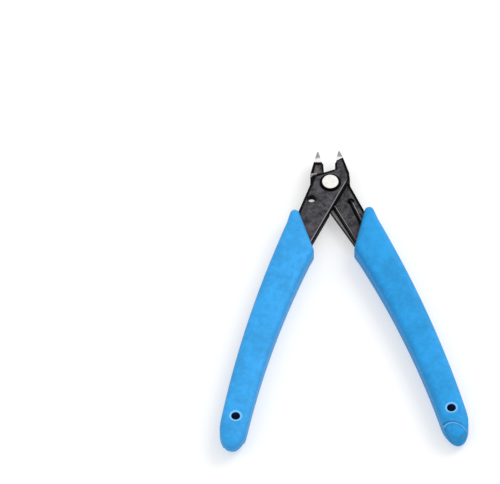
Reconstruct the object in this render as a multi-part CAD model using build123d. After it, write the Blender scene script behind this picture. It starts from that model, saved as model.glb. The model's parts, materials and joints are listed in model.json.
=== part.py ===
from build123d import *
import os
from math import cos, radians, sin, sqrt, tan

# Flush cut pliers: two stamped steel arms stacked face to face on one rivet, a bent wire return
# spring and two moulded grips. Lengths are in millimetres.
#
# Half frame: each half is drawn with the pliers closed, the rivet's axis at X = Y = 0, the jaws
# towards +Y, the handle towards -Y on the -X side, and the face that meets the other arm at Z = 0.
# The front half is then turned open. The rear half is the same shape turned over about Y.

# Opening
CLOSING_TRAVEL = 26.5  # degrees between the open stop and the closed blades
HALF_OPEN = CLOSING_TRAVEL / 2
BLADE_GAP = 0.02  # from each cutting edge to the middle plane, closed

# Stamped arms
PLATE = 2.3  # thickness of the stamping
FACE_GAP = 0.03  # from each arm's mating face to the plane between the arms
PLATE_TOP = FACE_GAP + PLATE
BOSS_RADIUS = 6.8  # round the rivet
SHOULDER_ANGLE = 30.0  # slope of the shoulder that limits the opening
SHOULDER_DISTANCE = 4.75  # from the rivet's axis to the shoulder
JAW_DEPTH = 1.95  # how far the jaw block stands past the mating plane
INNER_LOW, INNER_HIGH = (-2.46, -28.0), (5.6, 1.1)  # ends of the arm's straight inner edge
JAW_OUTER = [(6.35, 2.6), (5.5, 5.45), (2.75, 10.3), (0.45, 14.55)]  # outer edge of the jaw, up to the tip
EDGE_BREAK = 0.3  # rounding of the stamped outline
WINDOW_RADIUS = 1.3  # the small hole in the front arm
WINDOW_CENTRE = (-5.05, -7.7)
LAND_DEPTH = 0.4  # coined land between the working leg and the rear arm's inner edge

# Rivet
SHANK_RADIUS = 2.0
PIVOT_CLEARANCE = 0.04  # running fit in the front arm
TIGHT_CLEARANCE = 0.005  # in the rear arm and the collar
HEAD_RADIUS = 2.9
HEAD_PROUD = 0.78  # above the front arm's face
SEAT_RADIUS = 3.4  # counterbore under the rivet's head and collar
SEAT_DEPTH = 0.35
COLLAR_RADIUS = 3.15
COLLAR_PROUD = 0.6
RIVET_TAIL = 0.75  # below the rear arm's back face

# Return spring
WIRE_RADIUS = 0.4
WIRE_Z = -0.4  # the wire's centre line, on the mating side of the rear arm
LEG_ROOT = (-5.05, -7.7)  # where the fixed leg turns down into the rear arm
LEG_ANGLE = 6.7  # degrees from the half's Y axis
LIVE_TIP = (1.29, -7.4)  # where the working leg turns up into the front arm
LIVE_ANGLE = 11.8
TURN_Y = -41.5  # the hairpin turn, inside the rear grip
FOOT_BEND = 0.7
POCKET_DEPTH = 1.0  # relief for the wire under the front arm and in the grips
FOOT_HOLE_RADIUS = 0.5
FOOT_HOLE_TOP = 1.85
ROOT_FLARE_RADIUS = 1.15  # countersink round the fixed leg's hole
ROOT_FLARE_DEPTH = 0.65

# Grips
GRIP_HALF = 4.4  # half the thickness
GRIP_ROUND = 2.0  # rounding of the long edges
GRIP_END = -111.6
DOME_CENTRE = -107.6  # Y about which the end is rounded from flat to flat
APEX_RADIUS = 1.6  # outer corner of the end that the arm comes out of
TANG_CLEARANCE = 0.05
HANG_CENTRE = (-14.0, -99.5)
HANG_RADIUS = 1.45
PAD_X = -13.2  # shallow thumb oval on the rounded end
PAD_TILT = 42.0  # how far the oval faces the end
PAD_LEAN = 35.0  # how far its long axis leans towards the outer edge
PAD_LENGTH = 8.8
PAD_WIDTH = 7.2
PAD_DEPTH = 0.3


def on_line(start, angle, y):
    """Point at height y on a line through start that leans towards -X going down."""
    return (start[0] + tan(radians(angle)) * (y - start[1]), y)


def turned(point, angle):
    """Point turned anticlockwise about the rivet's axis, angle in degrees."""
    c, s = cos(radians(angle)), sin(radians(angle))
    return (point[0] * c - point[1] * s, point[0] * s + point[1] * c)


def shape(points):
    """Filled polygon through the points."""
    return make_face(Polyline(*points, close=True))


def prism(face, bottom, top):
    """Straight solid over a flat shape, from one height to another."""
    return extrude(Pos(0, 0, bottom) * face, top - bottom)


def post(centre, radius, bottom, top):
    """Upright cylinder."""
    return Pos(*centre, bottom) * extrude(Circle(radius), top - bottom)


def below(solid, a, b, c):
    """What is left of a solid under the plane through three points."""
    normal = (Vector(*b) - Vector(*a)).cross(Vector(*c) - Vector(*a))
    if normal.Z < 0:
        normal = normal * -1
    return split(solid, bisect_by=Plane(origin=a, z_dir=normal), keep=Keep.BOTTOM)


def jaw_inner():
    """Tip, cutting edge and throat of the jaw, the edge just short of the middle plane."""
    return [(BLADE_GAP, 14.0), (BLADE_GAP, 8.7)]


def turn_over(solid):
    """The same piece turned over about the Y axis."""
    return Rot(0, 180, 0) * solid


def arm_blank():
    """Outline of one stamping, without its holes."""
    shoulder_left = turned((-sqrt(BOSS_RADIUS**2 - SHOULDER_DISTANCE**2), SHOULDER_DISTANCE), SHOULDER_ANGLE)
    shoulder_right = turned((3.38, SHOULDER_DISTANCE), SHOULDER_ANGLE)
    neck_top = turned((-BOSS_RADIUS, 0.0), 15.0)
    boss = ThreePointArc(shoulder_left, (-BOSS_RADIUS, 0.0), neck_top)
    neck = Polyline(neck_top, (-8.75, -14.9), (-10.6, -27.0))
    tang_outer = ThreePointArc((-10.6, -27.0), (-14.0, -56.0), (-15.9, -86.0))
    tang_end = Line((-15.9, -86.0), (-11.9, -86.0))
    tang_inner = ThreePointArc((-11.9, -86.0), (-9.0, -56.0), (-3.6, -32.0))
    inner_edge = Polyline((-3.6, -32.0), INNER_LOW, INNER_HIGH)
    jaw = Polyline(INNER_HIGH, *JAW_OUTER, *jaw_inner(), shoulder_right)
    shoulder = Line(shoulder_right, shoulder_left)
    return make_face(boss + neck + tang_outer + tang_end + tang_inner + inner_edge + jaw + shoulder)


def jaw_block():
    """Lower half of the jaw, which fills the other arm's layer and stops against its shoulder.

    The stop is relieved towards the jaw's outer edge.
    """
    stop_gap, relief = 0.08, 1.0
    stop_right = turned((5.2, SHOULDER_DISTANCE + relief), CLOSING_TRAVEL - SHOULDER_ANGLE)
    stop_left = turned((1.3, SHOULDER_DISTANCE + stop_gap), CLOSING_TRAVEL - SHOULDER_ANGLE)
    return shape([stop_right, *JAW_OUTER[1:], *jaw_inner(), (0.75, 5.4), stop_left])


def blank_solid():
    """One stamping with its jaw block and rivet seat."""
    plate = prism(arm_blank(), FACE_GAP, PLATE_TOP)
    rim = plate.faces().sort_by(Axis.Z)[-1].edges()
    plate = fillet(rim, EDGE_BREAK)
    arm = plate + prism(jaw_block(), -JAW_DEPTH, FACE_GAP + 0.4)
    arm -= post((0, 0), SEAT_RADIUS, PLATE_TOP - SEAT_DEPTH, PLATE_TOP + 1)
    return ground_jaw(arm)


def ground_jaw(arm):
    """Grinds the tip from both faces and gives the cutting edge its double bevel."""
    arm = below(arm, (0.0, 8.9, PLATE_TOP), (2.3, 11.0, PLATE_TOP), (0.3, 14.7, 0.35))
    back = turn_over(arm)
    back = below(back, (0.0, 9.0, JAW_DEPTH), (-3.0, 9.9, JAW_DEPTH), (-0.3, 14.7, 0.35))
    arm = turn_over(back)
    bevel = 0.55
    for height in (PLATE_TOP + 1, -JAW_DEPTH - 1):
        section = Polyline(
            (BLADE_GAP, 0.0), (BLADE_GAP - 1.5, 0.0), (BLADE_GAP - 1.5, height), (BLADE_GAP + bevel, height),
            close=True,
        )
        arm -= extrude(Plane.XZ.offset(-8.3) * make_face(section), 8.0, dir=(0, 1, 0))
    return arm


def wire_relief():
    """Fan under the front arm in which the spring's working leg swings, and its foot hole."""
    foot = turned((-LIVE_TIP[0], LIVE_TIP[1]), CLOSING_TRAVEL)
    side = WIRE_RADIUS + 0.15
    open_heading = radians(LIVE_ANGLE + CLOSING_TRAVEL)
    along = (sin(open_heading), -cos(open_heading))
    across = (cos(open_heading), sin(open_heading))
    upper_start = (foot[0] + across[0] * side, foot[1] + across[1] * side)
    upper_end = (upper_start[0] + along[0] * 5, upper_start[1] + along[1] * 5)
    fan = shape([upper_start, upper_end, (foot[0] + 0.4, foot[1] - 12), (foot[0] - side, foot[1])])
    relief = prism(fan, FACE_GAP - 1, POCKET_DEPTH) + post(foot, side, FACE_GAP - 1, POCKET_DEPTH)
    return relief + post(foot, FOOT_HOLE_RADIUS, FACE_GAP, FOOT_HOLE_TOP)


def front_arm():
    arm = blank_solid() - post((0, 0), SHANK_RADIUS + PIVOT_CLEARANCE, -5, 5)
    arm -= post(WINDOW_CENTRE, WINDOW_RADIUS, FACE_GAP - 1, PLATE_TOP + 1)
    return arm - wire_relief()


def rear_arm():
    """Rear stamping in the half frame, with the fixed leg's hole and the coined land."""
    arm = blank_solid() - post((0, 0), SHANK_RADIUS + TIGHT_CLEARANCE, -5, 5)
    arm -= post(LEG_ROOT, FOOT_HOLE_RADIUS, FACE_GAP, PLATE_TOP + 1)
    flare = Cone(ROOT_FLARE_RADIUS, FOOT_HOLE_RADIUS, ROOT_FLARE_DEPTH)
    arm -= Pos(*LEG_ROOT, FACE_GAP + ROOT_FLARE_DEPTH / 2) * flare
    top, bottom = -9.0, -31.0
    wall = WIRE_RADIUS + 0.05
    leg_top, leg_bottom = on_line(LIVE_TIP, LIVE_ANGLE, top), on_line(LIVE_TIP, LIVE_ANGLE, bottom)
    land = shape([
        (leg_top[0] + wall, top), (leg_top[0] + 6, top),
        (leg_bottom[0] + 6, bottom), (leg_bottom[0] + wall, bottom),
    ])
    return arm - prism(land, FACE_GAP - 1, FACE_GAP + LAND_DEPTH)


def pivot_rivet():
    """Rivet with its flat head above the front arm."""
    head_top = PLATE_TOP + HEAD_PROUD
    head_bottom = PLATE_TOP - SEAT_DEPTH + FACE_GAP
    head = post((0, 0), HEAD_RADIUS, head_bottom, head_top)
    head = fillet(head.edges().group_by(Axis.Z)[-1], 0.28)
    tail = -PLATE_TOP - RIVET_TAIL
    shank = post((0, 0), SHANK_RADIUS, tail, head_bottom)
    shank = chamfer(shank.edges().group_by(Axis.Z)[0], 0.25)
    return head + shank


def rivet_collar():
    """Ring closed on the rivet's tail, in the rear arm's seat."""
    top = -PLATE_TOP + SEAT_DEPTH - FACE_GAP / 2
    ring = post((0, 0), COLLAR_RADIUS, -PLATE_TOP - COLLAR_PROUD, top)
    ring = fillet(ring.edges().group_by(Axis.Z)[0], 0.25)
    return ring - post((0, 0), SHANK_RADIUS + TIGHT_CLEARANCE, -5, 5)


def return_spring():
    """Hairpin of round wire in the rear half's frame."""
    leg_end = on_line(LEG_ROOT, LEG_ANGLE, TURN_Y)
    live_end = on_line(LIVE_TIP, LIVE_ANGLE, TURN_Y)
    turn = (live_end[0] - leg_end[0]) / 2 * 0.94
    route = FilletPolyline(
        (*LEG_ROOT, 1.7),
        (*LEG_ROOT, WIRE_Z),
        (*leg_end, WIRE_Z),
        (*live_end, WIRE_Z),
        (*LIVE_TIP, WIRE_Z),
        (*LIVE_TIP, -FOOT_HOLE_TOP + 0.15),
        radius=[FOOT_BEND, turn, turn, FOOT_BEND],
    )
    section = Plane(origin=(*LEG_ROOT, 1.7), z_dir=(0, 0, -1)) * Circle(WIRE_RADIUS)
    return sweep(section, path=route)


def grip_outline():
    """Bowed handle outline with the slanted mouth for the arm."""
    outer = ThreePointArc((-11.55, -19.0), (-17.25, -61.0), (-18.85, -101.0))
    inner = ThreePointArc((-9.4, -101.0), (-6.4, -61.0), (-1.2, -31.5))
    end = Spline(
        (-18.85, -101.0), (-18.1, -106.4), (-16.2, -110.1), (-13.7, GRIP_END),
        (-11.5, -110.3), (-9.95, -106.9), (-9.4, -101.0),
        tangents=[outer % 1, inner % 0],
    )
    mouth = Polyline((-1.2, -31.5), (-0.3, -28.2), (-10.65, -9.4), (-11.55, -19.0))
    outline = make_face(outer + end + inner + mouth)
    return fillet(outline.vertices().sort_by(Axis.Y)[-1], APEX_RADIUS)


def tang_slot():
    """Space in a grip for the arm and, on its mating side, for the spring."""
    tang = offset(arm_blank(), TANG_CLEARANCE, kind=Kind.INTERSECTION)
    slot = prism(tang, FACE_GAP - TANG_CLEARANCE, PLATE_TOP + TANG_CLEARANCE)
    bottom = TURN_Y - 2.4
    wall = WIRE_RADIUS + 0.4
    leg_low, leg_high = on_line(LEG_ROOT, LEG_ANGLE, bottom), on_line(LEG_ROOT, LEG_ANGLE, -10.0)
    live_low, live_high = on_line(LIVE_TIP, LIVE_ANGLE, bottom), on_line(LIVE_TIP, LIVE_ANGLE, -10.0)
    pocket = shape([
        (leg_low[0] - wall, bottom), (leg_high[0] - wall, -10.0),
        (live_high[0] + wall, -10.0), (live_low[0] + wall, bottom),
    ])
    return slot + prism(pocket, -POCKET_DEPTH, FACE_GAP)


def end_dome(inset=0.0):
    """Space inside the grip's side profile, with its end rounded from flat to flat."""
    radius = GRIP_HALF - inset
    round_end = ThreePointArc((DOME_CENTRE, radius), (DOME_CENTRE - radius, 0), (DOME_CENTRE, -radius))
    rest = Polyline((DOME_CENTRE, -radius), (0.0, -radius), (0.0, radius), (DOME_CENTRE, radius))
    return extrude(Plane.YZ * make_face(round_end + rest), 40, both=True)


def thumb_oval():
    """Tool that sinks the shallow oval into the rounded end, on the mating side."""
    oval = extrude(Ellipse(PAD_WIDTH / 2, PAD_LENGTH / 2), -2 * GRIP_HALF)
    return Pos(PAD_X, DOME_CENTRE, 0) * Rot(-PAD_TILT, 0, 0) * Rot(0, 0, -PAD_LEAN) * oval - end_dome(PAD_DEPTH)


def grip_sleeve():
    """One grip, the same moulding for both arms."""
    body = prism(grip_outline(), -GRIP_HALF, GRIP_HALF)
    flats = body.faces().sort_by(Axis.Z)
    body = fillet(flats[0].edges() + flats[-1].edges(), GRIP_ROUND) & end_dome()
    body -= post(HANG_CENTRE, HANG_RADIUS, -GRIP_HALF - 1, GRIP_HALF + 1)
    return body - thumb_oval() - tang_slot()


def opened(solid):
    """The front half's piece turned to the open stop."""
    return Rot(0, 0, -HALF_OPEN) * solid


def rear(solid):
    """A rear half's piece, turned over and turned to the open stop."""
    return Rot(0, 0, HALF_OPEN) * turn_over(solid)


def main():
    grip = grip_sleeve()
    pieces = {
        "front_arm": opened(front_arm()),
        "rear_arm": rear(rear_arm()),
        "pivot_rivet": pivot_rivet(),
        "rivet_collar": rivet_collar(),
        "return_spring": rear(return_spring()),
        "front_grip": opened(grip),
        "rear_grip": rear(grip),
    }
    box = Compound(children=[Part() + p for p in pieces.values()]).bounding_box()
    stand = Pos(-(box.min.X + box.max.X) / 2, -(box.min.Y + box.max.Y) / 2, -box.min.Z)
    os.makedirs("parts", exist_ok=True)
    for name, piece in pieces.items():
        export_step(stand * piece, f"parts/{name}.step")
    pivot = stand.position
    print("rivet's axis at", round(pivot.X, 4), round(pivot.Y, 4), "mating plane at", round(pivot.Z, 4))


main()
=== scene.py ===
import json
from math import cos, hypot, pi, radians, sin, tan

import bpy
import numpy as np
from mathutils import Euler, Matrix, Vector


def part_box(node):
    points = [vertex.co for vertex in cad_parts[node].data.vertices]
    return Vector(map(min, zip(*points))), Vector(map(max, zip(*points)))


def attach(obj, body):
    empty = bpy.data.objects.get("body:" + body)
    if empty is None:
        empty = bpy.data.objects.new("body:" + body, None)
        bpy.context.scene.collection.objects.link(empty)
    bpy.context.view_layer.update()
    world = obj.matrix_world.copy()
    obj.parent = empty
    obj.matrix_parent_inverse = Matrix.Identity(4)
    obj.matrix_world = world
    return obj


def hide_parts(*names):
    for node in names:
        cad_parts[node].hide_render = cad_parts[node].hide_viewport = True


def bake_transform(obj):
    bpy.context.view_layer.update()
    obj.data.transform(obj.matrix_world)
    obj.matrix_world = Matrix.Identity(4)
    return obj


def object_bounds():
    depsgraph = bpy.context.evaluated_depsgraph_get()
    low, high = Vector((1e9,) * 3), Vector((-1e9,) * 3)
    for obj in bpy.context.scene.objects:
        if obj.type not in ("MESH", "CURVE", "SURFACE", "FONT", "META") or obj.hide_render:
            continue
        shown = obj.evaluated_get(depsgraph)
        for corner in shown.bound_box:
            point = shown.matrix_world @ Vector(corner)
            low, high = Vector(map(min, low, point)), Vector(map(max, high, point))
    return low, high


bl_info = {
    "name": "Flush Cut Pliers",
    "version": (1, 0, 0),
    "blender": (4, 5, 0),
    "location": "View3D > Sidebar > Pliers",
    "description": "Finishes the flush cut pliers: moulded grips, hairpin spring, steel finishes and studio",
    "category": "Object",
}

# The frame, and the half frame that both halves are described in
#
# Half frame, in millimetres: pliers closed, the rivet's axis at X = Y = 0, jaws towards +Y, the
# handle on the -X side, and the face that meets the other arm at Z = 0.
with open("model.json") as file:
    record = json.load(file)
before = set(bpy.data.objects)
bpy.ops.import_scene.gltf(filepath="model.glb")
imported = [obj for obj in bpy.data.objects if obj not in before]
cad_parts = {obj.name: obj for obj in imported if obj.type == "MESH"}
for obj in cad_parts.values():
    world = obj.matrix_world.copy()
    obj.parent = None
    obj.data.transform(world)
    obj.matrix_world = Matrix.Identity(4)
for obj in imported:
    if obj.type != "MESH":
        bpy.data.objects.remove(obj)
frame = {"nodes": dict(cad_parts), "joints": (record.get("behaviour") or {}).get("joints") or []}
CAD_LOW, CAD_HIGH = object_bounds()
MM = 0.001
PIVOT_JOINT = frame["joints"][0]
PIVOT = Vector(PIVOT_JOINT["pos_m"])
HALF_OPEN = radians(PIVOT_JOINT["range_deg"][1]) / 2
HALVES = {
    "front": Euler((0, 0, -HALF_OPEN)),
    "rear": Euler((0, pi, HALF_OPEN)),
}

# Arms
INNER_EDGE = ((-2.46, -28.0), (5.6, 1.1))  # the straight inner edge, from the grip to the jaw
NECK = ((-6.57, -1.76), (-8.75, -14.9), (-10.6, -27.0))  # outer edge from the boss to the grip
JAW = ((6.35, 2.6), (5.5, 5.45), (2.75, 10.3), (0.45, 14.55))  # outer edge of the jaw, up to the tip
SHOULDER = ((0.55, 5.8), (-6.59, 1.68))
THROAT = ((0.02, 8.7), (0.55, 5.8))
STOP = ((1.59, 4.74), (5.54, 5.42))  # relieved face of the jaw block
TIP_TOP_PLANE = ((0.0, 8.9, 2.33), (2.3, 11.0, 2.33), (0.3, 14.7, 0.35))
TIP_BACK_PLANE = ((0.0, 9.0, -1.95), (3.0, 9.9, -1.95), (0.3, 14.7, -0.35))
BOSS_RADIUS = 6.8
SEAT_RADIUS = 3.4
WINDOW_CENTRE, WINDOW_RADIUS = (-5.05, -7.7), 1.3  # the small hole, and in the rear arm the wire's
LAND_HEIGHT = 0.43  # coined land beside the working leg

# Borders of painted shade: how far in from the edge each one ends, and is full
OUTER_BORDER = (0.98, 0.82)
BOSS_BORDER = (0.95, 0.8)
THROAT_BORDER = (0.85, 0.7)
INNER_BORDER = (0.5, 0.42)
SEAT_BORDER = (0.34, 0.2)
WINDOW_BORDER = {"front": (0.4, 0.22), "rear": (0.0, -0.1)}
RUBBED_HIGHLIGHT_LINE = ((0.48, 0.56), (0.84, 0.74))  # rubbed line with a painted highlight beside the inner edge: its start and end

# Grips
GRIP_HALF = 4.4
GRIP_OUTER = ((-11.55, -19.0), (-17.25, -61.0), (-18.85, -101.0))
GRIP_INNER = ((-9.4, -101.0), (-6.4, -61.0), (-1.2, -31.5))
CROWN_START = (-20.0, -34.0)  # the crown grows between these, going down from the mouth
END_ZONE = (-104.0, -109.0)  # the end's own smoothing grows between these
EVEN_ROUNDS, END_ROUNDS = 6, 45  # rounds of smoothing, all over and at the end
DRAW_IN, DRAW_ZONE = 0.6, (-103.5, -110.0)  # how far the mating side's end is drawn in
HANG_CENTRE, HANG_RADIUS = (-14.0, -99.5), 1.45
LIP_GROOVE = (1.15, 0.32, 0.1)  # groove round the hang hole: reach from the hole, half width, depth
OVAL_CENTRE = (-12.9, -106.8, 0.0)
OVAL_TILT = 42.0  # how far the thumb oval faces the end
OVAL_LEAN = 40.0  # how far its long axis leans towards the outer edge
OVAL_HALF = (3.45, 4.4)  # half its width and length

# Return spring
WIRE_Z = -0.4
LEG_ROOT, LEG_ANGLE = (-5.05, -7.7), 6.7  # where the hooked leg turns down into the rear arm
LIVE_TIP, LIVE_ANGLE = (1.29, -7.4), 11.8  # where the working leg turns up into the front arm
WIRE_END = 1.7  # how far from the mating plane both ends of the wire reach
TURN_Y = -41.5
TURN_SHARE = 0.94  # the turn's bend radius as a share of half the gap between the legs
SPLICE_Y, SPLICE_GAP = -36.0, 0.02  # inside the rear grip, where the working leg's mesh starts
FILLET_POINTS, RING_POINTS, WIRE_STEP = 20, 20, 0.25

# Colours of bare and rubbed spots, tints, and painted shade and highlights
BLACK = (0.003, 0.003, 0.0035)
RIVET_WALL_SHADE = (0.006, 0.006, 0.006)
HOOK_SHADE = (0.004, 0.004, 0.004)
HEAT_TINT = (0.115, 0.058, 0.075)
BLOCK_BROWN = (0.13, 0.108, 0.094)
RUBBED_HIGHLIGHT_STEEL = (0.3, 0.295, 0.3)
STRUCK_STEEL = (0.8, 0.8, 0.79)
LAND_STEEL = ((0.13, 0.128, 0.13), (0.4, 0.395, 0.4))
GROUND_STEEL = ((0.8, 0.8, 0.79), (0.97, 0.97, 0.96))
POINT_STEEL = ((0.2, 0.2, 0.2), (0.5, 0.5, 0.49))  # the dull last stretch of the tip
RIVET_STEEL = ((0.86, 0.845, 0.81), (0.72, 0.7, 0.65))
RIVET_SPOT = (0.5, 0.47, 0.4)
WIRE_TARNISH = (0.12, 0.11, 0.1)
WIRE_HIGHLIGHT = ((0.3, 0.3, 0.3), (0.62, 0.62, 0.61))
BORE_SHADE = (0.006, 0.002, 0.06)

# Studio, in metres
FLOOR_REACH, FLOOR_DROP = 3.0, 0.0001
FLOOR_ALBEDO, FLOOR_GLOW = 0.68, 0.47  # shares of the floor's colour that it reflects and gives off
SKY_STRENGTH = 0.85
LIGHTS = {  # offset from the pliers, diameter, and power in watts
    "soft_key": ((0.5, 0.38, 0.62), 0.6, 3.4),
    "soft_fill": ((-0.5, -0.3, 0.7), 0.8, 0.8),
}
SENSOR_WIDTH = 36.0  # millimetres
AIM_OFFSET = (-0.0273, -0.0206)  # middle of the view from the rivet head, to the right and up


# Shared helpers

def half_matrix(side):
    """From the half frame in millimetres to the row frame in metres."""
    return Matrix.Translation(PIVOT) @ HALVES[side].to_matrix().to_4x4() @ Matrix.Scale(MM, 4)


def smooth(low, high, value):
    """Smooth step from 0 at low to 1 at high."""
    t = np.clip((value - low) / (high - low), 0, 1)
    return t * t * (3 - 2 * t)


def on_line(start, angle, y):
    """Point at height y on a line through start that leans towards -X going down."""
    return (start[0] + tan(radians(angle)) * (y - start[1]), y)


def arc_x(points, y):
    """X of the arc through three points, at each height y."""
    (ax, ay), (bx, by), (cx, cy) = points
    a, b, c = ax**2 + ay**2, bx**2 + by**2, cx**2 + cy**2
    double_area = 2 * (ax * (by - cy) + bx * (cy - ay) + cx * (ay - by))
    centre_x = (a * (by - cy) + b * (cy - ay) + c * (ay - by)) / double_area
    centre_y = (a * (cx - bx) + b * (ax - cx) + c * (bx - ax)) / double_area
    reach = hypot(ax - centre_x, ay - centre_y)
    side = 1 if bx > centre_x else -1
    return centre_x + side * np.sqrt(np.maximum(reach**2 - (y - centre_y) ** 2, 0))


def oval_turn():
    """Turn of the thumb oval: X across it, Y along it and -Z out of the grip."""
    return Matrix.Rotation(radians(-OVAL_TILT), 3, "X") @ Matrix.Rotation(radians(-OVAL_LEAN), 3, "Z")


def shade(colour, factor, lift=0.0):
    """A colour made darker or lighter."""
    return tuple(min(1.0, c * factor + lift) for c in colour)


def new_object(name, data):
    """Linked object for a mesh, curve, light or camera."""
    obj = bpy.data.objects.new(name, data)
    bpy.context.scene.collection.objects.link(obj)
    return obj


def baked(obj, name):
    """Plain mesh object of what an object's modifiers make, the source removed."""
    graph = bpy.context.evaluated_depsgraph_get()
    mesh = bpy.data.meshes.new_from_object(obj.evaluated_get(graph))
    mesh.name = name
    bpy.data.objects.remove(obj)
    return new_object(name, mesh)


def hand_over(obj, material, slot, *replaced):
    """Gives a piece its finish and hides the frame parts that it replaces."""
    obj.data.materials.clear()
    obj.data.materials.append(material)
    if replaced:
        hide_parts(*replaced)


def dress(node, material):
    """Gives a frame node its finish."""
    obj = frame["nodes"][node]
    obj.data.materials.clear()
    obj.data.materials.append(material)


class Finish:
    """Builds one procedural material, with coordinates in the half frame's millimetres.

    The colour is painted on in layers. A mask is 1 where a layer shows and 0 elsewhere.
    """

    def __init__(self, name, side=None):
        self.material = bpy.data.materials.new(name)
        self.material.use_nodes = True
        self.tree = self.material.node_tree
        self.tree.nodes.clear()
        self.output = self.tree.nodes.new("ShaderNodeOutputMaterial")
        self.shader = self.tree.nodes.new("ShaderNodeBsdfPrincipled")
        self.tree.links.new(self.shader.outputs["BSDF"], self.output.inputs["Surface"])
        source = self.tree.nodes.new("ShaderNodeTexCoord")
        place = self.tree.nodes.new("ShaderNodeMapping")
        place.vector_type = "TEXTURE"
        place.inputs["Location"].default_value = PIVOT
        place.inputs["Rotation"].default_value = HALVES[side] if side else (0, 0, 0)
        place.inputs["Scale"].default_value = (MM, MM, MM)
        self.tree.links.new(source.outputs["Object"], place.inputs["Vector"])
        self.point = place.outputs["Vector"]
        split = self.tree.nodes.new("ShaderNodeSeparateXYZ")
        self.tree.links.new(self.point, split.inputs[0])
        self.x, self.y, self.z = split.outputs
        facing = self.tree.nodes.new("ShaderNodeSeparateXYZ")
        self.tree.links.new(source.outputs["Normal"], facing.inputs[0])
        self.side_on = facing.outputs[0]
        self.up = self.math("ABSOLUTE", facing.outputs[2])
        self.colour = BLACK

    def put(self, socket, value):
        """Links a socket, or sets its value."""
        if isinstance(value, bpy.types.NodeSocket):
            self.tree.links.new(value, socket)
        else:
            socket.default_value = value

    def math(self, operation, *values):
        """One Math node."""
        node = self.tree.nodes.new("ShaderNodeMath")
        node.operation = operation
        for socket, value in zip(node.inputs, values):
            self.put(socket, value)
        return node.outputs[0]

    def step(self, value, low, high):
        """0 below low to 1 above high, smoothly; the other way round when high is below low."""
        node = self.tree.nodes.new("ShaderNodeMapRange")
        node.interpolation_type = "SMOOTHSTEP"
        flip = high < low
        self.put(node.inputs["Value"], value)
        node.inputs["From Min"].default_value = min(low, high)
        node.inputs["From Max"].default_value = max(low, high)
        node.inputs["To Min"].default_value = 1.0 if flip else 0.0
        node.inputs["To Max"].default_value = 0.0 if flip else 1.0
        return node.outputs[0]

    def band(self, value, rise, fall):
        """Mask that goes from 0 to 1 over the first span and back to 0 over the second."""
        return self.every(self.step(value, *rise), self.step(value, *fall))

    def every(self, *masks):
        """Mask of where all of several masks are."""
        found = masks[0]
        for mask in masks[1:]:
            found = self.math("MULTIPLY", found, mask)
        return found

    def sum(self, *terms):
        """Sum of values, each given with its weight."""
        found = 0.0
        for value, weight in terms:
            found = self.math("ADD", self.math("MULTIPLY", value, weight), found)
        return found

    def paint(self, mask, colour, strength=1.0):
        """Lays a colour over the layers so far."""
        self.colour = self.mix(self.math("MULTIPLY", mask, strength), self.colour, colour)

    def scaled(self, stretch, turn):
        """The coordinates turned about Z, then stretched."""
        node = self.tree.nodes.new("ShaderNodeMapping")
        self.put(node.inputs["Vector"], self.point)
        node.inputs["Rotation"].default_value = (0, 0, radians(turn))
        second = self.tree.nodes.new("ShaderNodeMapping")
        self.put(second.inputs["Vector"], node.outputs[0])
        second.inputs["Scale"].default_value = stretch
        return second.outputs[0]

    def noise(self, scale, detail=4.0, roughness=0.55, vector=None):
        """Fractal noise, scale in features per millimetre."""
        node = self.tree.nodes.new("ShaderNodeTexNoise")
        self.put(node.inputs["Vector"], vector or self.point)
        node.inputs["Scale"].default_value = scale
        node.inputs["Detail"].default_value = detail
        node.inputs["Roughness"].default_value = roughness
        return node.outputs["Fac"]

    def mix(self, factor, first, second):
        """Colour mix."""
        node = self.tree.nodes.new("ShaderNodeMix")
        node.data_type = "RGBA"
        self.put(node.inputs[0], factor)
        for socket, value in zip((node.inputs[6], node.inputs[7]), (first, second)):
            self.put(socket, (*value, 1) if isinstance(value, (tuple, list)) else value)
        return node.outputs[2]

    def blend_value(self, factor, first, second):
        """Number mix."""
        node = self.tree.nodes.new("ShaderNodeMix")
        self.put(node.inputs[0], factor)
        self.put(node.inputs[2], first)
        self.put(node.inputs[3], second)
        return node.outputs[0]

    def plane(self, points):
        """Distance in millimetres from the plane through three points."""
        a, b, c = (Vector(p) for p in points)
        normal = (b - a).cross(c - a).normalized()
        if normal.z < 0:
            normal.negate()
        node = self.tree.nodes.new("ShaderNodeVectorMath")
        node.operation = "DOT_PRODUCT"
        self.put(node.inputs[0], self.point)
        node.inputs[1].default_value = normal
        return self.math("SUBTRACT", node.outputs["Value"], a.dot(normal))

    def inward(self, start, end):
        """Distance in plan to the left of the line from start to end."""
        along = (Vector(end) - Vector(start)).normalized()
        value = self.sum((self.y, along.x), (self.x, -along.y))
        return self.math("SUBTRACT", value, along.x * start[1] - along.y * start[0])

    def least(self, values):
        """Smallest of several numbers."""
        found = values[0]
        for value in values[1:]:
            found = self.math("MINIMUM", found, value)
        return found

    def radius(self, centre=(0.0, 0.0)):
        """Distance in plan from a point."""
        dx = self.math("SUBTRACT", self.x, centre[0])
        dy = self.math("SUBTRACT", self.y, centre[1])
        return self.math("SQRT", self.sum((dx, dx), (dy, dy)))

    def thumb_oval(self):
        """Reach from the thumb oval's middle, 1 at its rim, and how far along it towards the end."""
        node = self.tree.nodes.new("ShaderNodeMapping")
        node.vector_type = "TEXTURE"
        self.put(node.inputs["Vector"], self.point)
        node.inputs["Location"].default_value = OVAL_CENTRE
        node.inputs["Rotation"].default_value = oval_turn().to_euler()
        node.inputs["Scale"].default_value = (*OVAL_HALF, 1.0)
        split = self.tree.nodes.new("ShaderNodeSeparateXYZ")
        self.tree.links.new(node.outputs[0], split.inputs[0])
        x, y = split.outputs[0], split.outputs[1]
        return self.math("SQRT", self.sum((x, x), (y, y))), self.math("MULTIPLY", y, -1.0)

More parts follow.
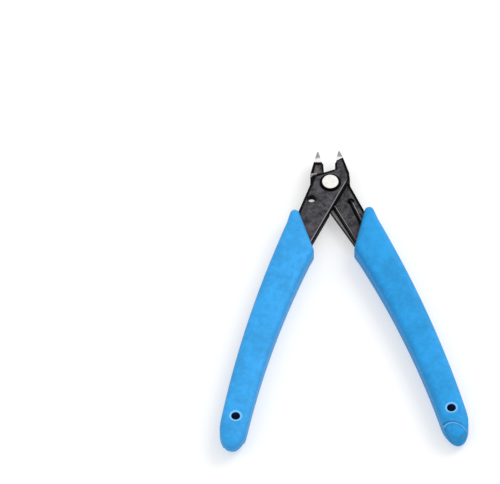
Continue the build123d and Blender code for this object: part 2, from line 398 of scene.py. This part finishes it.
    def bump(self, height, distance, strength):
        """Bump from a height of 0 to 1, its full depth in millimetres."""
        node = self.tree.nodes.new("ShaderNodeBump")
        node.inputs["Strength"].default_value = strength
        node.inputs["Distance"].default_value = distance * MM
        self.put(node.inputs["Height"], height)
        self.put(self.shader.inputs["Normal"], node.outputs[0])

    def set(self, **values):
        """The material, with its colour and the values of the shader's other sockets."""
        self.put(self.shader.inputs["Base Color"], self.colour)
        for name, value in values.items():
            socket = self.shader.inputs[name.replace("_", " ")]
            self.put(socket, (*value, 1) if isinstance(value, tuple) and len(value) == 3 else value)
        return self.material


# Finishes

def blackened_steel(side, settings):
    """Black oxide over ground plate, with bright ground tips, a rubbed edge with a painted highlight, and
    painted shade on the walls, edges, seat, hole and tip.
    """
    f = Finish(f"{side}_arm_black_oxide", side)
    cloud = f.noise(0.45, 6.0, 0.65)
    grain = f.noise(1.0, 5.0, 0.7, f.scaled((7.0, 0.9, 3.0), -15.0))
    scratch = f.noise(1.0, 4.0, 0.6, f.scaled((1.2, 14.0, 4.0), 8.0))
    oxide_tones(f, settings.oxide_color, cloud, grain)
    shaded_stamped_edges(f)
    rubbed_and_highlit = rubbed_highlight_line(f)
    # painted shade: black in the rivet's seat round the head
    f.paint(f.step(f.radius(), *(SEAT_RADIUS + gap for gap in SEAT_BORDER)), BLACK)
    if side == "rear":
        stop_and_land(f, grain)
        # painted shadow beside the wire's legs
        painted_wire_shadow(f)
    # painted shade: black ring round the small hole
    f.paint(f.step(f.radius(WINDOW_CENTRE), *(WINDOW_RADIUS + gap for gap in WINDOW_BORDER[side])), BLACK)
    ground = ground_tip(f, scratch)
    rough = f.blend_value(cloud, settings.oxide_roughness - 0.12, settings.oxide_roughness + 0.14)
    rough = f.blend_value(rubbed_and_highlit, rough, 0.3)
    rough = f.blend_value(ground, rough, f.blend_value(scratch, 0.28, 0.5))
    metal = f.math("MAXIMUM", f.math("MULTIPLY", ground, 0.75), f.math("MULTIPLY", rubbed_and_highlit, 0.8))
    f.bump(f.sum((grain, 0.5), (f.noise(5.0, 3.0), 0.5)), 0.05, 0.5)
    return f.set(Roughness=rough, Metallic=metal, Specular_IOR_Level=0.04)


def oxide_tones(f, oxide, cloud, grain):
    """Mottled oxide, tinted by heat towards the grip and browner on the jaw block's bare face."""
    mottle = f.step(f.sum((cloud, 0.55), (grain, 0.45)), 0.38, 0.64)
    f.colour = f.mix(mottle, shade(oxide, 0.4), shade(oxide, 2.5))
    f.paint(f.step(f.noise(3.2, 3.0, 0.6), 0.56, 0.72), shade(oxide, 3.6), 0.42)
    f.paint(f.every(f.step(f.y, -13.0, -27.0), f.step(f.noise(0.28, 3.0), 0.4, 0.62)), HEAT_TINT, 0.5)
    f.paint(f.every(f.step(f.z, -1.8, -1.9), f.step(cloud, 0.42, 0.6)), BLOCK_BROWN, 0.7)


def shaded_stamped_edges(f):
    """Painted shade: black on the stamped walls and roundings, and a black border along the edges."""
    # painted shade: walls and roundings black by the way they face
    f.paint(f.step(f.up, 0.995, 0.95), BLACK)
    # painted shade: black borders along the outer, boss, shoulder, throat and inner edges
    outer = [f.inward(p, q) for line in (NECK, JAW) for p, q in zip(line, line[1:])]
    f.paint(f.step(f.least(outer), *OUTER_BORDER), BLACK)
    boss = f.step(f.radius(), *(BOSS_RADIUS - gap for gap in BOSS_BORDER))
    f.paint(f.every(boss, f.step(f.x, -4.5, -5.2), f.step(f.y, -2.6, -1.8)), BLACK)
    shoulder = f.step(f.inward(*SHOULDER), *OUTER_BORDER)
    f.paint(f.every(shoulder, f.step(f.x, 0.75, 0.5)), BLACK)
    throat = f.step(f.inward(*THROAT), *THROAT_BORDER)
    f.paint(f.every(throat, f.step(f.y, 5.3, 5.6)), BLACK)
    f.paint(f.step(f.inward(*INNER_EDGE), *INNER_BORDER), BLACK)


def rubbed_highlight_line(f):
    """Thin line on the face beside the straight inner edge, partly rubbed steel and partly a painted
    highlight. Its mask is handed back.
    """
    line = f.band(f.inward(*INNER_EDGE), *RUBBED_HIGHLIGHT_LINE)
    face = f.every(f.step(f.up, 0.97, 0.99), f.step(f.z, 2.2, 2.3))
    patchiness = f.blend_value(f.noise(0.8, 3.0), 0.5, 1.1)
    rubbed_and_highlit = f.every(f.math("MINIMUM", f.every(line, face, patchiness), 1.0), f.step(f.y, 2.4, 0.8))
    # painted highlight along the inner edge, over rubbed steel
    f.paint(rubbed_and_highlit, RUBBED_HIGHLIGHT_STEEL)
    return rubbed_and_highlit


def stop_and_land(f, grain):
    """The coined land beside the working leg, and the bare face of the jaw block's stop."""
    land = f.band(f.z, (LAND_HEIGHT - 0.06, LAND_HEIGHT - 0.02), (0.7, 0.6))
    land = f.every(land, f.step(f.up, 0.95, 0.99))
    f.paint(land, f.mix(grain, *LAND_STEEL), 0.8)
    stop = f.step(f.math("ABSOLUTE", f.inward(*STOP)), 0.14, 0.1)
    f.paint(f.every(stop, f.step(f.x, 3.0, 3.5), f.step(f.z, -0.05, -0.15)), STRUCK_STEEL, 0.8)


def painted_wire_shadow(f):
    """Painted shadow on the arm's face along the wire's two legs, on the side of the inner edge."""
    for tip, lean, reach in ((LEG_ROOT, LEG_ANGLE, 0.95), (LIVE_TIP, LIVE_ANGLE, 0.68)):
        beside = f.band(f.inward(on_line(tip, lean, TURN_Y), tip), (-reach, 0.1 - reach), (0.3, 0.15))
        # painted shadow beside each leg
        f.paint(f.every(beside, f.step(f.y, tip[1] + 0.4, tip[1] - 0.2)), BLACK)


def ground_tip(f, scratch):
    """Bright ground faces of the tip, with a band of painted shade up to them. Their mask is handed back."""
    top, back = f.plane(TIP_TOP_PLANE), f.math("MULTIPLY", f.plane(TIP_BACK_PLANE), -1.0)
    # painted shade: black bands just short of the ground faces
    over = f.every(f.step(top, -0.24, -0.16), f.step(f.z, 2.0, 2.2))
    under = f.every(f.step(back, -0.42, -0.34), f.step(f.z, -1.6, -1.8))
    f.paint(f.every(f.math("MAXIMUM", over, under), f.step(f.y, 6.4, 6.6)), BLACK)
    faces = f.math("MAXIMUM", *(f.step(f.math("ABSOLUTE", gap), 0.03, 0.015) for gap in (top, back)))
    faces = f.every(faces, f.step(f.y, 8.4, 8.6))
    sides = f.every(f.step(f.up, 0.8, 0.6), f.step(f.y, 10.6, 10.9))
    bevel = f.every(f.step(f.up, 0.9, 0.8), f.step(f.x, 0.75, 0.7), f.step(f.y, 8.3, 8.6))
    ground = f.math("MAXIMUM", faces, f.math("MAXIMUM", sides, bevel))
    bright, dull = f.mix(scratch, *GROUND_STEEL), f.mix(scratch, *POINT_STEEL)
    f.paint(ground, f.mix(f.step(f.y, 10.9, 11.7), bright, dull))
    return ground


def turned_steel(name, ring_strength, wall_shade):
    """Bright rivet steel with faint turning rings, a soft mottle and painted shade on the head's wall and
    rim.
    """
    f = Finish(name)
    mottle = f.noise(0.9, 5.0, 0.6)
    rings = f.math("SINE", f.math("MULTIPLY", f.radius(), 34.0))
    rings = f.math("ADD", f.math("MULTIPLY", rings, 0.5), 0.5)
    f.colour = f.mix(f.step(mottle, 0.35, 0.7), *RIVET_STEEL)
    f.paint(f.step(f.noise(2.6, 4.0, 0.7), 0.55, 0.75), RIVET_SPOT, 0.3)
    # painted shade: the head's wall and its rim darkened
    wall = f.math("MAXIMUM", f.step(f.up, 0.985, 0.9), f.step(f.radius(), 2.68, 2.78))
    f.paint(wall, RIVET_WALL_SHADE, wall_shade)
    f.bump(f.sum((rings, ring_strength), (f.noise(6.0, 2.0), 0.4)), 0.02, 0.6)
    return f.set(Roughness=f.blend_value(mottle, 0.24, 0.46), Metallic=0.35)


def drawn_wire(settings):
    """Darkened spring wire with a painted highlight along one side, and fine marks along its drawing."""
    f = Finish("drawn_spring_wire", "rear")
    streak = f.noise(1.0, 4.0, 0.6, f.scaled((16.0, 0.8, 16.0), -9.0))
    tarnish = f.step(f.noise(0.5, 4.0, 0.6), 0.4, 0.7)
    f.colour = f.mix(streak, shade(settings.wire_color, 0.7), shade(settings.wire_color, 1.5))
    f.paint(tarnish, WIRE_TARNISH, 0.12)
    # painted highlight along the wire's one side
    f.paint(f.step(f.side_on, 0.35, 0.6), f.mix(streak, *WIRE_HIGHLIGHT))
    # painted shade: the wire black where it turns down into the hole
    f.paint(f.step(f.radius(LEG_ROOT), 1.3, 1.0), HOOK_SHADE)
    f.bump(streak, 0.02, 0.5)
    return f.set(Roughness=f.blend_value(tarnish, 0.26, 0.4), Specular_IOR_Level=0.15)


def moulded_plastic(side, settings):
    """Satin moulded grip plastic: fine pebble, soft mottle, a pale ring at the hole, painted shade on the
    walls, in the hole and round the thumb oval, and a painted highlight on the oval's lip.
    """
    f = Finish(f"{side}_grip_plastic", side)
    body = tuple(settings.grip_color if side == "front" else settings.rear_grip_color)
    cloud, blotch, pebble = f.noise(0.11, 5.0, 0.6), f.noise(0.55, 5.0, 0.65), f.noise(4.2, 3.0, 0.6)
    mottle = f.step(f.sum((cloud, 0.5), (blotch, 0.5)), 0.36, 0.66)
    f.colour = f.mix(mottle, shade(body, 0.85), shade(body, 1.13))
    f.paint(f.step(pebble, 0.55, 0.75), shade(body, 1.35, 0.02), 0.18)
    # painted shade: the grip's side walls darker
    f.paint(f.step(f.up, 0.7, 0.45), shade(body, 0.72), 0.55)
    reach = f.radius(HANG_CENTRE)
    ring = f.every(f.step(reach, HANG_RADIUS + 0.95, HANG_RADIUS + 0.35), f.step(f.up, 0.5, 0.8))
    f.paint(ring, shade(body, 1.2, 0.26), 0.7)
    # painted shade: dark navy inside the hang hole
    f.paint(f.step(reach, HANG_RADIUS + 0.14, HANG_RADIUS - 0.02), BORE_SHADE, 0.93)
    # painted shade in the groove round the thumb oval, and a painted highlight on its lip
    oval, low_end = f.thumb_oval()
    near = f.every(f.step(f.z, -0.4, -0.8), f.step(f.y, -101.5, -102.0), f.step(f.up, 0.2, 0.4))
    groove_shade = f.every(f.band(oval, (1.03, 1.06), (1.15, 1.1)), near, f.step(low_end, 0.25, -0.2))
    f.paint(groove_shade, shade(body, 0.3), 0.7)
    # painted highlight on the oval's lip
    f.paint(f.every(f.band(oval, (0.88, 0.94), (1.04, 1.0)), near), shade(body, 1.2, 0.2), 0.55)
    parting = f.every(f.step(f.math("ABSOLUTE", f.z), 0.16, 0.06), f.step(f.up, 0.5, 0.3))
    f.bump(f.sum((pebble, 0.6), (blotch, 0.8), (parting, 0.9)), 0.06, 0.55)
    rough = f.blend_value(blotch, settings.grip_roughness - 0.07, settings.grip_roughness + 0.1)
    return f.set(Roughness=rough, Specular_IOR_Level=0.2)


# Settings

class PliersFinish(bpy.types.PropertyGroup):
    """Colours and surface of the finishes."""

    grip_color: bpy.props.FloatVectorProperty(
        name="Grip colour", description="Body colour of the moulded grips", subtype="COLOR",
        size=3, min=0, max=1, default=(0.03, 0.33, 0.74))
    rear_grip_color: bpy.props.FloatVectorProperty(
        name="Rear grip colour", description="Body colour of the rear grip, a slightly deeper batch",
        subtype="COLOR", size=3, min=0, max=1, default=(0.014, 0.283, 0.65))
    grip_roughness: bpy.props.FloatProperty(
        name="Grip roughness", description="Satin of the grips", subtype="FACTOR", min=0, max=1, default=0.5)
    oxide_color: bpy.props.FloatVectorProperty(
        name="Oxide colour", description="Middle tone of the blackened arms", subtype="COLOR",
        size=3, min=0, max=1, default=(0.041, 0.0402, 0.0445))
    oxide_roughness: bpy.props.FloatProperty(
        name="Oxide roughness", description="Sheen of the blackened arms", subtype="FACTOR", min=0, max=1,
        default=0.52)
    wire_color: bpy.props.FloatVectorProperty(
        name="Wire colour", description="Tone of the spring wire", subtype="COLOR",
        size=3, min=0, max=1, default=(0.006, 0.006, 0.0065))


class PliersShape(bpy.types.PropertyGroup):
    """Sizes of the pieces that are made here."""

    voxel: bpy.props.FloatProperty(
        name="Grip mesh size", description="Edge length of the grips' mesh", subtype="DISTANCE",
        unit="LENGTH", min=0.0001, max=0.002, precision=5, default=0.00027)
    crown: bpy.props.FloatProperty(
        name="Grip crown", description="How far the flat sides fall away towards their long edges",
        subtype="DISTANCE", unit="LENGTH", min=0, max=0.002, precision=5, default=0.0003)
    oval_depth: bpy.props.FloatProperty(
        name="Thumb oval depth", description="Depth of the oval in the rounded end", subtype="DISTANCE",
        unit="LENGTH", min=0, max=0.001, precision=5, default=0.0004)
    wire_radius: bpy.props.FloatProperty(
        name="Wire radius", description="Radius of the spring wire", subtype="DISTANCE", unit="LENGTH",
        min=0.0001, max=0.001, precision=5, default=0.0004)
    foot_bend: bpy.props.FloatProperty(
        name="Foot bend", description="Bend radius where the wire turns into the arms", subtype="DISTANCE",
        unit="LENGTH", min=0.0002, max=0.003, precision=5, default=0.0007)


class PliersStudio(bpy.types.PropertyGroup):
    """Camera and light."""

    elevation: bpy.props.FloatProperty(
        name="Camera elevation", description="Height of the camera above the horizon", subtype="ANGLE",
        unit="ROTATION", min=0, max=pi / 2, default=radians(57.0))
    azimuth: bpy.props.FloatProperty(
        name="Camera azimuth", description="Turn of the camera about the pliers", subtype="ANGLE",
        unit="ROTATION", min=-pi, max=pi, default=radians(-2.6))
    field: bpy.props.FloatProperty(
        name="Field width", description="Width of the view at the pliers", subtype="DISTANCE",
        unit="LENGTH", min=0.01, max=2, default=0.17)
    lens: bpy.props.FloatProperty(
        name="Lens", description="Focal length", subtype="DISTANCE_CAMERA", unit="CAMERA", min=20, max=3000,
        default=1400.0)
    floor_color: bpy.props.FloatVectorProperty(
        name="Floor colour", description="Plain pale floor", subtype="COLOR", size=3, min=0, max=1,
        default=(0.86, 0.86, 0.86))


# Operators

class PLIERS_OT_stage(bpy.types.Operator):
    """Lay out the floor, the soft lights and the camera"""

    bl_idname = "pliers.stage"
    bl_label = "Stage"

    def execute(self, context):
        studio = context.scene.pliers_studio
        self.floor(studio)
        self.world(context.scene)
        context.scene.view_settings.view_transform = "Standard"
        for name, values in LIGHTS.items():
            self.light(name, *values)
        self.camera(context.scene, studio)
        return {"FINISHED"}

    def floor(self, studio):
        """Large plain floor just under the pliers, which also glows a little."""
        mesh = bpy.data.meshes.new("floor")
        corners = [(x * FLOOR_REACH, y * FLOOR_REACH) for x, y in ((-1, -1), (1, -1), (1, 1), (-1, 1))]
        mesh.from_pydata([(x, y, -FLOOR_DROP) for x, y in corners], [], [(0, 1, 2, 3)])
        floor = new_object("floor", mesh)
        f = Finish("pale_floor")
        tone = tuple(studio.floor_color)
        f.colour = f.mix(f.noise(0.02, 3.0), shade(tone, FLOOR_ALBEDO), shade(tone, FLOOR_ALBEDO * 0.985))
        mesh.materials.append(f.set(
            Roughness=0.9, Specular_IOR_Level=0.0, Emission_Color=tone, Emission_Strength=FLOOR_GLOW))

    def world(self, scene):
        """Even white sky."""
        world = bpy.data.worlds.new("studio")
        world.use_nodes = True
        sky = world.node_tree.nodes["Background"]
        sky.inputs["Color"].default_value = (1, 1, 1, 1)
        sky.inputs["Strength"].default_value = SKY_STRENGTH
        scene.world = world

    def light(self, name, offset, size, power):
        """Round soft light that faces the pliers."""
        lamp = bpy.data.lights.new(name, "AREA")
        lamp.shape, lamp.size, lamp.energy = "DISK", size, power
        obj = new_object(name, lamp)
        centre = (CAD_LOW + CAD_HIGH) / 2
        obj.location = centre + Vector(offset)
        obj.rotation_euler = (-Vector(offset)).to_track_quat("-Z", "Y").to_euler()

    def camera(self, scene, studio):
        """Camera that looks down on the pliers from beyond the handles' ends."""
        data = bpy.data.cameras.new("camera")
        data.lens, data.sensor_width = studio.lens, SENSOR_WIDTH
        a, e = studio.azimuth, studio.elevation
        back = Vector((sin(a) * cos(e), -cos(a) * cos(e), sin(e)))
        right = Vector((cos(a), sin(a), 0))
        up = back.cross(right)
        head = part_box("pivot_rivet")[1].z
        centre = Vector((PIVOT.x, PIVOT.y, head)) + right * AIM_OFFSET[0] + up * AIM_OFFSET[1]
        camera = new_object("camera", data)
        camera.location = centre + back * (studio.field * studio.lens / data.sensor_width)
        camera.rotation_euler = Matrix((right, up, back)).transposed().to_euler()
        data.clip_start, data.clip_end = 0.05, 30.0
        scene.camera = camera


class PLIERS_OT_arms(bpy.types.Operator):
    """Blacken the two stamped arms and grind their tips bright"""

    bl_idname = "pliers.arms"
    bl_label = "Stamped Arms"

    def execute(self, context):
        for side in HALVES:
            dress(f"{side}_arm", blackened_steel(side, context.scene.pliers_finish))
        return {"FINISHED"}


class PLIERS_OT_rivet(bpy.types.Operator):
    """Finish the rivet and its collar"""

    bl_idname = "pliers.rivet"
    bl_label = "Rivet and Collar"

    def execute(self, context):
        dress("pivot_rivet", turned_steel("rivet_head_steel", 0.35, 1.0))
        dress("rivet_collar", turned_steel("collar_steel", 0.6, 0.5))
        return {"FINISHED"}


class PLIERS_OT_spring(bpy.types.Operator):
    """Bend the hairpin return spring from round wire"""

    bl_idname = "pliers.spring"
    bl_label = "Return Spring"

    def execute(self, context):
        shape = context.scene.pliers_shape
        material = drawn_wire(context.scene.pliers_finish)
        tree = self.wire_tree()
        leg_end = on_line(LEG_ROOT, LEG_ANGLE, TURN_Y)
        live_end = on_line(LIVE_TIP, LIVE_ANGLE, TURN_Y)
        turn = (live_end[0] - leg_end[0]) / 2 * TURN_SHARE * MM
        hairpin = self.wire("hairpin_spring", tree, material, shape, [
            ((*LEG_ROOT, WIRE_END), 0.0),
            ((*LEG_ROOT, WIRE_Z), shape.foot_bend),
            ((*leg_end, WIRE_Z), turn),
            ((*live_end, WIRE_Z), turn),
            ((*on_line(LIVE_TIP, LIVE_ANGLE, SPLICE_Y - SPLICE_GAP), WIRE_Z), 0.0),
        ])
        working_leg = self.wire("hairpin_working_leg", tree, material, shape, [
            ((*on_line(LIVE_TIP, LIVE_ANGLE, SPLICE_Y), WIRE_Z), 0.0),
            ((*LIVE_TIP, WIRE_Z), shape.foot_bend),
            ((*LIVE_TIP, -WIRE_END), 0.0),
        ])
        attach(hairpin, "rear")
        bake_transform(working_leg)
        return {"FINISHED"}

    def wire(self, name, tree, material, shape, corners):
        """One run of wire through its corners, each given with its bend radius."""
        curve = bpy.data.curves.new(name, "CURVE")
        curve.dimensions = "3D"
        spline = curve.splines.new("POLY")
        spline.points.add(len(corners) - 1)
        place = half_matrix("rear")
        for point, (corner, bend) in zip(spline.points, corners):
            point.co = (*(place @ Vector(corner)), 1)
            point.radius = bend / MM
        obj = new_object(name, curve)
        modifier = obj.modifiers.new("wire", "NODES")
        modifier.node_group = tree
        sockets = {item.name: item.identifier for item in tree.interface.items_tree if item.in_out == "INPUT"}
        modifier[sockets["Wire Radius"]] = shape.wire_radius
        modifier[sockets["Finish"]] = material
        obj = baked(obj, name)
        if not obj.data.vertices:
            raise RuntimeError(f"{name} came out empty")
        hand_over(obj, material, "spring_wire", "return_spring")
        return obj

    def wire_tree(self):
        """Node tree that rounds the corners, divides the run and sweeps the wire."""
        tree = bpy.data.node_groups.new("Bent Wire", "GeometryNodeTree")
        tree.interface.new_socket("Geometry", in_out="INPUT", socket_type="NodeSocketGeometry")
        radius = tree.interface.new_socket("Wire Radius", in_out="INPUT", socket_type="NodeSocketFloat")
        radius.subtype = "DISTANCE"
        tree.interface.new_socket("Finish", in_out="INPUT", socket_type="NodeSocketMaterial")
        tree.interface.new_socket("Geometry", in_out="OUTPUT", socket_type="NodeSocketGeometry")
        node, link = tree.nodes.new, tree.links.new
        given, made = node("NodeGroupInput"), node("NodeGroupOutput")
        bend = node("GeometryNodeInputRadius")
        scale = node("ShaderNodeMath")
        scale.operation = "MULTIPLY"
        scale.inputs[1].default_value = MM
        link(bend.outputs[0], scale.inputs[0])
        rounded = node("GeometryNodeFilletCurve")
        rounded.mode = "POLY"
        rounded.inputs["Count"].default_value = FILLET_POINTS
        link(given.outputs["Geometry"], rounded.inputs["Curve"])
        link(scale.outputs[0], rounded.inputs["Radius"])
        divided = node("GeometryNodeResampleCurve")
        divided.mode = "LENGTH"
        divided.inputs["Length"].default_value = WIRE_STEP * MM
        link(rounded.outputs[0], divided.inputs["Curve"])
        even = node("GeometryNodeSetCurveRadius")
        even.inputs["Radius"].default_value = 1.0
        link(divided.outputs[0], even.inputs["Curve"])
        ring = node("GeometryNodeCurvePrimitiveCircle")
        ring.inputs["Resolution"].default_value = RING_POINTS
        link(given.outputs["Wire Radius"], ring.inputs["Radius"])
        swept = node("GeometryNodeCurveToMesh")
        swept.inputs["Fill Caps"].default_value = True
        link(even.outputs[0], swept.inputs["Curve"])
        link(ring.outputs["Curve"], swept.inputs["Profile Curve"])
        shaded = node("GeometryNodeSetShadeSmooth")
        link(swept.outputs[0], shaded.inputs["Geometry"])
        real = node("GeometryNodeRealizeInstances")
        link(shaded.outputs[0], real.inputs[0])
        finish = node("GeometryNodeSetMaterial")
        link(real.outputs[0], finish.inputs["Geometry"])
        link(given.outputs["Finish"], finish.inputs["Material"])
        link(finish.outputs[0], made.inputs[0])
        return tree


class PLIERS_OT_grips(bpy.types.Operator):
    """Mould the two grips with crowned sides, a rounded end, the hang hole's lip and the thumb oval"""

    bl_idname = "pliers.grips"
    bl_label = "Moulded Grips"

    def execute(self, context):
        shape, finish = context.scene.pliers_shape, context.scene.pliers_finish
        for side in HALVES:
            node = f"{side}_grip"
            obj = self.even_mesh(node, shape.voxel)
            self.soften(obj, side, shape)
            hand_over(obj, moulded_plastic(side, finish), "grip_plastic", node)
            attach(obj, side)
        return {"FINISHED"}

    def even_mesh(self, node, size):
        """Evenly meshed copy of a grip."""
        obj = new_object(f"{node}_blank", frame["nodes"][node].data.copy())
        weld = obj.modifiers.new("weld", "WELD")
        weld.merge_threshold = 1e-6
        remesh = obj.modifiers.new("even", "REMESH")
        remesh.mode, remesh.voxel_size, remesh.use_smooth_shade = "VOXEL", size, True
        return baked(obj, f"{node}_sleeve")

    def soften(self, obj, side, shape):
        """Moves the vertices of a grip, in the half frame."""
        mesh = obj.data
        count = len(mesh.vertices)
        if count < 1000:
            raise RuntimeError(f"{obj.name} was not meshed")
        co = np.zeros(count * 3)
        mesh.vertices.foreach_get("co", co)
        place = np.array(half_matrix(side))
        back = np.linalg.inv(place)
        co = co.reshape(-1, 3) @ back[:3, :3].T + back[:3, 3]
        ends = np.zeros(len(mesh.edges) * 2, np.int64)
        mesh.edges.foreach_get("vertices", ends)
        ends = ends.reshape(-1, 2)
        degree = np.maximum(np.bincount(ends.ravel(), minlength=count), 1)[:, None]

        def relax(rounds, weight):
            nonlocal co
            for _ in range(rounds):
                total = np.zeros_like(co)
                for k in range(3):
                    total[:, k] = (
                        np.bincount(ends[:, 0], co[ends[:, 1], k], count)
                        + np.bincount(ends[:, 1], co[ends[:, 0], k], count))
                co += weight[:, None] * 0.5 * (total / degree - co)

        relax(EVEN_ROUNDS, np.ones(count))
        outside = smooth(1.5, 3.8, np.abs(co[:, 2]))
        relax(END_ROUNDS, smooth(*END_ZONE, co[:, 1]))
        # the mating side's end is drawn in a little more
        co[:, 1] += DRAW_IN * smooth(*DRAW_ZONE, co[:, 1]) * smooth(2.5, -2.0, co[:, 2])
        # crowned flats
        mid = (arc_x(GRIP_OUTER, co[:, 1]) + arc_x(GRIP_INNER, co[:, 1])) / 2
        half = (arc_x(GRIP_INNER, co[:, 1]) - arc_x(GRIP_OUTER, co[:, 1])) / 2
        across = np.clip((co[:, 0] - mid) / half, -1.2, 1.2)
        crown = shape.crown / MM * across**2 * smooth(*CROWN_START, co[:, 1])
        co[:, 2] -= np.sign(co[:, 2]) * outside * crown
        # groove round the hang hole's lip
        groove_reach, groove_width, groove_depth = LIP_GROOVE
        reach = np.hypot(co[:, 0] - HANG_CENTRE[0], co[:, 1] - HANG_CENTRE[1]) - HANG_RADIUS
        groove = groove_depth * np.exp(-(((reach - groove_reach) / groove_width) ** 2))
        co[:, 2] -= np.sign(co[:, 2]) * (np.abs(co[:, 2]) > 3.6) * groove
        self.sink_oval(co, shape.oval_depth / MM)
        co[:, 2] = np.clip(co[:, 2], -GRIP_HALF, GRIP_HALF)
        co = co @ place[:3, :3].T + place[:3, 3]
        mesh.vertices.foreach_set("co", co.ravel())
        mesh.update()

    def sink_oval(self, co, depth):
        """Sinks the thumb oval into the rounded end, on the mating side."""
        turn = np.array(oval_turn())
        width, length, facing = ((co - np.array(OVAL_CENTRE)) @ turn).T
        ring = np.hypot(width / OVAL_HALF[0], length / OVAL_HALF[1])
        sunk = depth * smooth(0.97, 0.88, ring)
        groove = 0.45 * depth * np.exp(-(((ring - 1.08) / 0.04) ** 2))
        co += turn[:, 2] * ((facing < -1.0) * (sunk + groove))[:, None]


class PLIERS_PT_panel(bpy.types.Panel):
    """Pieces of the pliers"""

    bl_idname = "PLIERS_PT_panel"
    bl_label = "Flush Cut Pliers"
    bl_space_type = "VIEW_3D"
    bl_region_type = "UI"
    bl_category = "Pliers"

    def draw(self, context):
        for group in (context.scene.pliers_studio, context.scene.pliers_shape, context.scene.pliers_finish):
            box = self.layout.box()
            for name in group.__annotations__:
                box.prop(group, name)
        for operator in OPERATORS:
            self.layout.operator(operator.bl_idname)


GROUPS = {"pliers_finish": PliersFinish, "pliers_shape": PliersShape, "pliers_studio": PliersStudio}
OPERATORS = (PLIERS_OT_stage, PLIERS_OT_arms, PLIERS_OT_rivet, PLIERS_OT_spring, PLIERS_OT_grips)


def register():
    for cls in (*GROUPS.values(), *OPERATORS, PLIERS_PT_panel):
        bpy.utils.register_class(cls)
    for name, group in GROUPS.items():
        setattr(bpy.types.Scene, name, bpy.props.PointerProperty(type=group))


def unregister():
    for name in GROUPS:
        delattr(bpy.types.Scene, name)
    for cls in reversed((*GROUPS.values(), *OPERATORS, PLIERS_PT_panel)):
        bpy.utils.unregister_class(cls)


def main():
    register()
    for operator in OPERATORS:
        group, call = operator.bl_idname.split(".")
        getattr(getattr(bpy.ops, group), call)()


if __name__ == "__main__":
    main()
